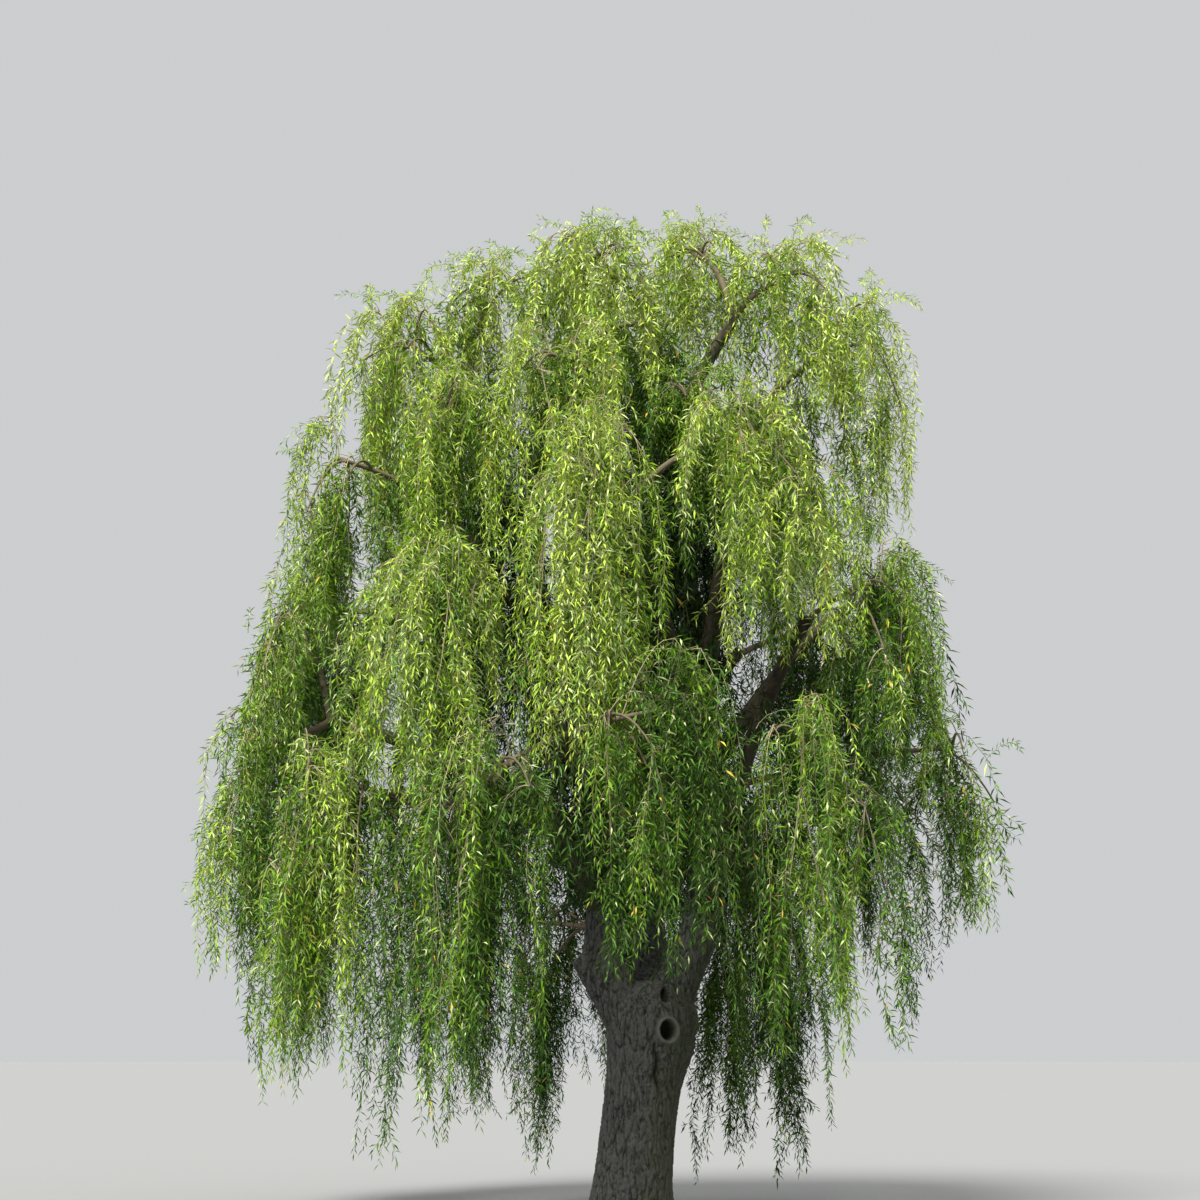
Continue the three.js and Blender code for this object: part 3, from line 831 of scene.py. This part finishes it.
def grow_rods(lines):
    """Branches as plain tapering tubes of few sides."""
    rods = []
    for line, radii in lines:
        thick = radii[0] > THICK_BRANCH
        sides = 5 if thick else 4
        faces = tube_faces(len(line), sides)
        colours = np.full(len(faces), 0 if thick else 1)
        rods.append((tube(line, radii, sides).reshape(-1, 3), faces, colours))
    return joined(rods)


# ---- shoots still to be grown
def shoots(start, heading, lift, turn, length, shade, lock=None):
    """Where each shoot starts, its heading, its first slope, the length in which it turns down, its own
    length, how much more painted light its leaves get than its place says, and the lock it hangs in."""
    lock = np.arange(len(length)) if lock is None else lock
    return dict(start=start, heading=heading, lift=lift, turn=turn, length=length, shade=shade, lock=lock)


def tress_rows(mass, branchlets):
    """For each shoot on a mass's branchlets: its start, heading, first slope, reach, shade, how far along the
    branchlet it is, and its lock."""
    rows = []
    for lock, (line, _) in enumerate(branchlets):
        count = rng.integers(*TRESS, endpoint=True)
        outward = line[-1] - line[0]
        heading = math.atan2(outward[1], outward[0])
        reach = (1.10 - 0.46 * rng.random() ** 1.6) * mass.reach
        shade = 0.10 * rng.normal()
        for share in np.append(1 - 0.75 * rng.random(count - 1) ** 1.4, 1.0):
            start, step, _ = part_way(line, share)
            lift = math.atan2(step[2], np.linalg.norm(step[:2]))
            rows.append((*start, heading, lift, reach, shade, share, lock))
    return np.array(rows)


def tresses(mass, branchlets):
    """The shoots that hang from a mass's branchlets, several close together from each."""
    rows = tress_rows(mass, branchlets)
    n = len(rows)
    start, (heading, lift, reach, shade, share, lock) = rows[:, :3], rows[:, 3:].T
    heading = heading + rng.normal(0, 0.7, n) * (1.15 - 0.5 * share)
    lift = np.clip(lift + rng.normal(0.1, 0.3, n), -1.2, 0.8)
    turn = rng.uniform(0.10, 0.26, n) + 0.22 * (1 - share) * rng.random(n)
    carried = start + plan_direction(heading) * (turn * 0.9)[:, None]
    drop = start[:, 2] - mass.hem(carried)
    pointed = 1 - 0.45 * rng.random(n) ** 2
    length = np.clip(drop * reach * pointed + OVERHANG + turn * 0.4, *SHOOT_LENGTHS)
    # Painted light and shade: lighter leaves high in the mass, on its outer face and in brighter masses.
    climb = (start[:, 2] - mass.low[2]) / mass.height - 0.72
    shade += mass.brightness + CREST_LIGHT * climb + FACE_LIGHT * mass.outness(start)
    return shoots(start, heading, lift, turn, length, shade, lock.astype(int))


def top_sprigs(mass):
    """Young upright shoots on the highest masses, which bend over only at their tips."""
    count = next((n for word, n in TOP_SPRIGS.items() if word in mass.name), OTHER_SPRIGS)
    high = mass.columns[np.argsort(mass.columns[:, 3])[-70:]]
    rows = high[rng.integers(0, len(high), count)]
    return shoots(
        np.column_stack([rows[:, :2], rows[:, 3] - 0.18]),
        rng.uniform(0, math.tau, count),
        rng.uniform(0.7, 1.45, count),
        rng.uniform(0.35, 0.7, count),
        rng.uniform(0.3, 0.75, count),
        rng.normal(0.05, 0.08, count),
    )


def shoots_along(lines, per_metre):
    """Shoots that hang from older wood, inside the crown."""
    rows = []
    for line, radii in lines:
        for share in rng.uniform(0.2, 1, rng.poisson(length_of(line) * per_metre)):
            start, _, i = part_way(line, share)
            rows.append((*start, radii[i]))
    rows = np.array(rows)
    rows = rows[rows[:, 2] > INNER_HEM + 0.4]
    n = len(rows)
    heading = rng.uniform(0, math.tau, n)
    start = rows[:, :3] + plan_direction(heading) * rows[:, 3:] * 0.9
    length = np.minimum(rng.uniform(*INNER_LENGTHS, n), start[:, 2] - INNER_HEM)
    lift = rng.uniform(-0.6, 0.5, n)
    turn = rng.uniform(0.08, 0.26, n)
    return shoots(start, heading, lift, turn, length, np.full(n, INNER_SHADE))


def side_shoots(parent, paths):
    """Short shoots that leave some of the longer ones on their way down."""
    n, knots = paths.shape[:2]
    picked = np.repeat(np.arange(n), rng.binomial(SIDE_SHOOTS, SIDE_SHOOT_CHANCE, n))
    at = rng.uniform(0.10, 0.92, len(picked)) * (knots - 1)
    i = at.astype(int)
    t = (at - i)[:, None]
    start = paths[picked, i] * (1 - t) + paths[picked, np.minimum(i + 1, knots - 1)] * t
    count = len(picked)
    return shoots(
        start,
        rng.uniform(0, math.tau, count),
        rng.uniform(-1.0, 0.3, count),
        rng.uniform(0.10, 0.26, count),
        rng.uniform(*SIDE_SHOOT_LENGTHS, count),
        parent["shade"][picked],
    )


# ---- growing shoots
def eased_inside(paths, low, high, ease=0.25):
    """Draws in the points that would stand too far outside the sides of a box."""
    for axis in (0, 1):
        past = paths[..., axis] - (high[axis] + SPILL - ease)
        paths[..., axis] -= np.where(past > 0, past - ease * np.tanh(past / ease), 0)
        short = low[axis] - SPILL + ease - paths[..., axis]
        paths[..., axis] += np.where(short > 0, short - ease * np.tanh(short / ease), 0)
    return paths


def hanging_curves(plan, steps, fine=4):
    """The knots of each shoot, which leaves at its own slope and bends over to hang, and how far along it
    each is. The curves are summed in finer steps than are kept."""
    n = len(plan["length"])
    share = (np.arange(steps * fine + 1) / (steps * fine)) ** SHOOT_PACKING
    along = plan["length"][:, None] * share
    middle = (along[:, 1:] + along[:, :-1]) / 2
    hang = (rng.normal(0, HANG_SPREAD, n) - HANG_SLOPE)[:, None]
    slope = hang + (plan["lift"][:, None] - hang) * np.exp(-middle / plan["turn"][:, None])
    step = np.diff(along, axis=1)
    out = np.cumsum(np.pad(np.cos(slope) * step, ((0, 0), (1, 0))), axis=1)[:, ::fine]
    fall = np.cumsum(np.pad(np.sin(slope) * step, ((0, 0), (1, 0))), axis=1)[:, ::fine]
    paths = plan["start"][:, None] + out[:, :, None] * plan_direction(plan["heading"])[:, None]
    paths[:, :, 2] += fall
    return paths, along[:, ::fine]


def grow_paths(plan, steps, sway, box):
    """The knots of each shoot, and how far along it they are. The shoots sway, and keep within a box or a
    little outside. Those of one lock draw together towards their tips."""
    paths, arc = hanging_curves(plan, steps)
    lock = plan["lock"]
    drawn = LOCK_PULL * (arc / arc[:, -1:]) ** 1.3
    for axis in (0, 1):
        phase = rng.uniform(0, math.tau, (len(paths), 1))
        wave = np.sin(arc * rng.uniform(2.0, 4.5, (len(paths), 1)) + phase) - np.sin(phase)
        paths[:, :, axis] += sway * wave * np.minimum(arc, 1.2)
        meeting = np.bincount(lock, paths[:, -1, axis]) / np.maximum(np.bincount(lock), 1)
        paths[:, :, axis] += (meeting[lock] - paths[:, -1, axis])[:, None] * drawn
    return eased_inside(paths, *box), arc


def sunniness(plan, paths):
    """The painted light on a shoot's leaves and twigs: from 0, painted shade, for a shoot deep inside or low
    on the shaded side to 1, painted sunlight, for one high on the lit side.
    """
    off = (paths.mean(axis=1) - crown_middle) / crown_half
    outside = np.linalg.norm(off, axis=1)
    place = MIDDLE_SUN + OUTER_SUN * (outside - 0.78)
    place = place + UPPER_SUN * off[:, 2] + RIGHT_SUN * off[:, 0] + BACK_SUN * off[:, 1]
    return place + plan["shade"] + rng.normal(0, SUN_SPREAD, len(paths))


def shoot_tubes(plan, paths, sun, radius):
    """Three-sided tubes along the shoots, tapering to their tips."""
    n, knots = paths.shape[:2]
    ahead = unit(np.gradient(paths, axis=1))
    side = square_to(plan_direction(plan["heading"][:, None] + math.pi / 2), ahead)
    other = np.cross(ahead, side)
    taper = np.linspace(1, SHOOT_TAPER, knots)[None, :, None]
    turns = np.arange(3) * math.tau / 3
    rings = [paths + radius * taper * (math.cos(a) * side + math.sin(a) * other) for a in turns]
    points = np.stack(rings, axis=2).reshape(-1, 3)
    faces = tube_faces(knots, 3)[None] + (np.arange(n) * knots * 3)[:, None, None]
    # Twigs in painted shade on shoots with little painted light; the others green or tan at random.
    colour = np.where(sun < SHADED_TWIG_SUN, 0, 1 + (rng.random(n) < TAN_TWIG_SHARE))
    return points, faces.reshape(-1, 4), np.repeat(colour, faces.shape[1])


# ---- leaves
def leaf_places(plan, paths, arc, scale):
    """For each leaf: its foot, the stem's direction there, its shoot, its number and how far down it is."""
    knots = arc.shape[1]
    length = plan["length"]
    counts = np.maximum(4, (length / (LEAF_SPACING * scale)).astype(int))
    shoot = np.repeat(np.arange(len(length)), counts)
    order = np.arange(len(shoot)) - np.repeat(np.cumsum(counts) - counts, counts)
    share = BARE_FOOT + (1 - BARE_FOOT) * (order + rng.uniform(0.1, 0.9, len(shoot))) / counts[shoot]
    at = share ** (1 / SHOOT_PACKING) * (knots - 1)
    i = np.minimum(at.astype(int), knots - 2)
    near, far = arc[shoot, i], arc[shoot, i + 1]
    t = ((share * length[shoot] - near) / (far - near))[:, None]
    foot = paths[shoot, i] * (1 - t) + paths[shoot, i + 1] * t
    tangents = unit(np.gradient(paths, axis=1))
    stem = unit(tangents[shoot, i] * (1 - t) + tangents[shoot, i + 1] * t)
    return foot, stem, shoot, order, share


def leaf_directions(plan, stem, shoot, order, share):
    """For each leaf: the direction in which it leaves its shoot, and its blade's normal."""
    side = square_to(plan_direction(plan["heading"][shoot] + math.pi / 2), stem)
    other = np.cross(stem, side)
    first = rng.uniform(0, math.tau, len(plan["length"]))
    turn = order * LEAF_TURN + rng.normal(0, 0.5, len(shoot)) + first[shoot]
    radial = np.cos(turn)[:, None] * side + np.sin(turn)[:, None] * other
    spread = np.clip(rng.normal(1.05, 0.35, len(shoot)), 0.2, 1.8) * (1.1 - 0.40 * share**2)
    ahead = np.cos(spread)[:, None] * stem + np.sin(spread)[:, None] * radial
    ahead[:, 2] -= 0.08
    ahead = unit(ahead)
    up = radial + (0, 0, 0.7) + rng.normal(0, 0.4, ahead.shape)
    return ahead, square_to(up, ahead)


def leaf_meshes(foot, ahead, normal, size, full):
    """The leaves' points and triangles. A full leaf has six points in a lance shape, a plain one four."""
    width = np.cross(ahead, normal) * (size * LEAF_WIDTH / 2)[:, None]
    along = ahead * size[:, None]
    droop = np.array([0, 0, -1.0]) * (size * 0.13)[:, None] - normal * (size * 0.05)[:, None]
    fold = normal * (size * 0.028)[:, None]
    tip = foot + along + droop
    if full:
        middle = foot + along * 0.36 + droop * 0.15 + fold
        outer = foot + along * 0.72 + droop * 0.55 + fold * 0.6
        corners = [foot, middle + width, middle - width, outer + width * 0.72, outer - width * 0.72, tip]
    else:
        middle = foot + along * 0.45 + droop * 0.2 + fold * 1.5
        corners = [foot, middle + width, middle - width, tip]
    pattern = FULL_LEAF if full else PLAIN_LEAF
    faces = pattern[None] + (np.arange(len(foot)) * len(corners))[:, None, None]
    return np.stack(corners, axis=1).reshape(-1, 3), faces.reshape(-1, 3), len(pattern)


def leaf_colours(sun, low, shoot, share):
    """The number of each leaf's colour, from its shoot's sun and lowness, and how far down that it is. The
    sun and how far down give the leaf's painted light or painted shade.
    """
    tints, cools = len(LIT_AND_SHADED_SPRAY_COLOURS), len(COOL_COLOURS)
    tint = (sun[shoot] - TIP_SHADE * (share - 0.4)) * tints + rng.normal(0, 0.4, len(shoot))
    tint = tint.clip(0, tints - 1).astype(int)
    cool = (rng.random(len(sun)) < COOL_SHARE * low)[shoot] & (tint > 0)
    # Cool sprays take the painted-shade or the painted-light copy of their green by their painted tint.
    colour = np.where(cool, tints + (tint > tints // 2), tint)
    odd = rng.random(len(shoot))
    # Pale undersides, dealt out more where the painted light is stronger, so partly painted highlights.
    undersides_and_highlights = odd < UNDERSIDE_AND_HIGHLIGHT_SHARE * np.clip(sun[shoot], 0, 1) ** 2
    colour = np.where(undersides_and_highlights, tints + cools, colour)
    return np.where(odd > 1 - TURNED_SHARE, tints + cools + 1, colour)


def grow_leaves(plan, paths, arc, sun, scale):
    """The leaves of a set of shoots as two meshes: full ones on the sunniest, and plain ones on the rest."""
    foot, stem, shoot, order, share = leaf_places(plan, paths, arc, scale)
    ahead, normal = leaf_directions(plan, stem, shoot, order, share)
    size = LEAF_LENGTH * scale * np.clip(rng.normal(1, 0.17, len(foot)), 0.5, 1.4)
    size *= np.clip(1.10 - 0.35 * share**3, 0.5, 1.1)
    low = 1 - paths[:, 0, 2] / (2 * crown_half[2])
    colour = leaf_colours(sun, low, shoot, share)
    meshes = []
    for full in (True, False):
        chosen = (sun > FULL_LEAF_SUN)[shoot] == full
        points, faces, each = leaf_meshes(foot[chosen], ahead[chosen], normal[chosen], size[chosen], full)
        meshes.append((points, faces, np.repeat(colour[chosen], each)))
    return meshes


# ---- the crown
def grow_kind(kind, plan, box, scale=1.0):
    """The paths of one kind of shoots, and their twigs, full leaves and plain leaves."""
    steps, sway, radius, leaf_scale = SHOOT_KINDS[kind]
    paths, arc = grow_paths(plan, steps, sway, box)
    sun = sunniness(plan, paths)
    twigs = shoot_tubes(plan, paths, sun, radius)
    return paths, (twigs, *grow_leaves(plan, paths, arc, sun, leaf_scale * scale))


def grow_shoots(plans, box):
    """Twigs, full leaves and plain leaves of several (kind, plan). All but sprigs have side shoots."""
    grown = []
    for kind, plan in plans:
        paths, parts = grow_kind(kind, plan, box)
        grown.append(parts)
        if kind != "sprig":
            scale = SHOOT_KINDS[kind][-1]
            grown.append(grow_kind("side", side_shoots(plan, paths), box, scale)[1])
    return [joined(parts) for parts in zip(*grown)]


def grow_mass(mass, wood):
    """The larger branches of one mass, and all that grows in it: branches, twigs and leaves of both sorts."""
    branches, branchlets = grow_branches(mass, wood)
    plans = [("hanging", tresses(mass, branchlets)), ("sprig", top_sprigs(mass))]
    return branches, [grow_rods(branches + branchlets), *grow_shoots(plans, (mass.low, mass.high))]


def grow_crown(limbs, boughs):
    """What grows in each mass, by node, and last the shoots that hang from the wood inside."""
    wood = list(limbs.values()) + list(boughs.values())
    grown, leaders = [], []
    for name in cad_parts:
        if name.startswith("foliage_"):
            branches, parts = grow_mass(Mass(name), wood)
            grown.append((name, parts))
            leaders += branches
    plans = [
        ("inner", shoots_along(list(boughs.values()) + leaders, INNER_SHOOTS_PER_METRE)),
        ("inner", shoots_along(limbs.values(), LIMB_SHOOTS_PER_METRE)),
    ]
    return grown + [(None, [None, *grow_shoots(plans, np.array(cad_box))])]


def batches(grown):
    """The (node, part) of one kind, in lists small enough to be joined into one piece."""
    batch, size = [], 0
    for node, part in grown:
        triangles = len(part[1]) * (part[1].shape[1] - 2)
        if batch and size + triangles > MOST_TRIANGLES:
            yield batch
            batch, size = [], 0
        batch.append((node, part))
        size += triangles
    yield batch


def build_crown(grown):
    """Joins what grew, one kind at a time, into pieces. Those named leaves stand for the masses."""
    leaf_materials = plain_materials(LEAF_COLOURS, 0.55, 0.15)
    kinds = {
        "branches": plain_materials(BRANCH_COLOURS, 0.8, 0.2),
        "twigs": plain_materials(TWIG_COLOURS, 0.6, 0.4),
        "leaves": leaf_materials,
        "inner_leaves": leaf_materials,
    }
    for index, (kind, materials) in enumerate(kinds.items()):
        of_kind = [(node, parts[index]) for node, parts in grown if parts[index]]
        for number, batch in enumerate(batches(of_kind), 1):
            points, faces, colours = joined([part for _, part in batch])
            smooth = kind != "inner_leaves"
            piece = mesh_object(f"{kind}_{number}", points, faces, colours, smooth)
            for material in materials:
                piece.data.materials.append(material)
            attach(piece, "root")
            if kind == "leaves":
                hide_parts(*[node for node, _ in batch if node])


# ---- stage
def add_camera():
    data = bpy.data.cameras.new("camera")
    data.lens = CAMERA_LENS_MM
    data.clip_end = VIEW_END
    camera = add_to_scene("camera", data)
    camera.location = CAMERA_PLACE
    camera.rotation_euler = (math.pi / 2 + CAMERA_TILT, 0, 0)
    bpy.context.scene.camera = camera


def add_light():
    """A soft key from the upper left front, softer light from overhead, and a pale backdrop all round."""
    bpy.context.scene.view_settings.view_transform = "Standard"
    for name, (toward, strength, softness) in SUNS.items():
        data = bpy.data.lights.new(name, "SUN")
        data.energy = strength
        data.angle = softness
        data.color = LIGHT_COLOUR
        add_to_scene(name, data).rotation_euler = Vector(toward).to_track_quat("Z", "Y").to_euler()
    world = bpy.data.worlds.new("studio")
    world.use_nodes = True
    background = world.node_tree.nodes["Background"]
    background.inputs["Color"].default_value = (*BACKDROP, 1)
    background.inputs["Strength"].default_value = BACKDROP_STRENGTH
    bpy.context.scene.world = world


def add_floor():
    angles = np.linspace(0, math.tau, FLOOR_SIDES, endpoint=False)
    rim = FLOOR_RADIUS * plan_direction(angles)
    floor = mesh_object("floor", rim, np.arange(FLOOR_SIDES)[None])
    floor.data.materials.append(plain_materials(FLOOR_COLOURS, 0.9, 0.1)[0])


# ---- the whole scene
add_camera()
add_light()
add_floor()
limbs, boughs = rooted_wood()
grow_wood(limbs, boughs)
build_crown(grow_crown(limbs, boughs))
